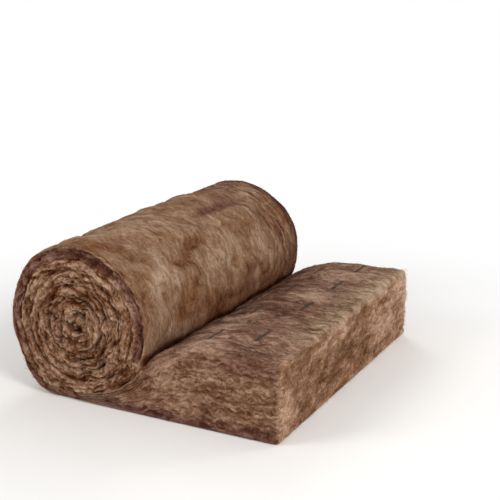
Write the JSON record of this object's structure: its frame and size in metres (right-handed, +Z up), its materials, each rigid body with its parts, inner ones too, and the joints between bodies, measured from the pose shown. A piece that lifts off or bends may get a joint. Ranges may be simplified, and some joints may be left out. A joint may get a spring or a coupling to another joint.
{
  "type": "insulation roll",
  "caption": "Partly unrolled roll of brown mineral wool: a thick blanket, wound in a spiral at one side, with its free end lying flat beside the roll.",
  "frame": {"origin": "middle of the footprint, on the floor", "axes": "+X along the free end, away from the roll; +Y along the roll's axis; +Z up"},
  "size_m": [1.0694, 1.2, 0.575],
  "materials": {
    "wool": "matte, fibrous mineral wool"
  },
  "bodies": {
    "root": {"wool_blanket": "wool"}
  },
  "joints": []
}
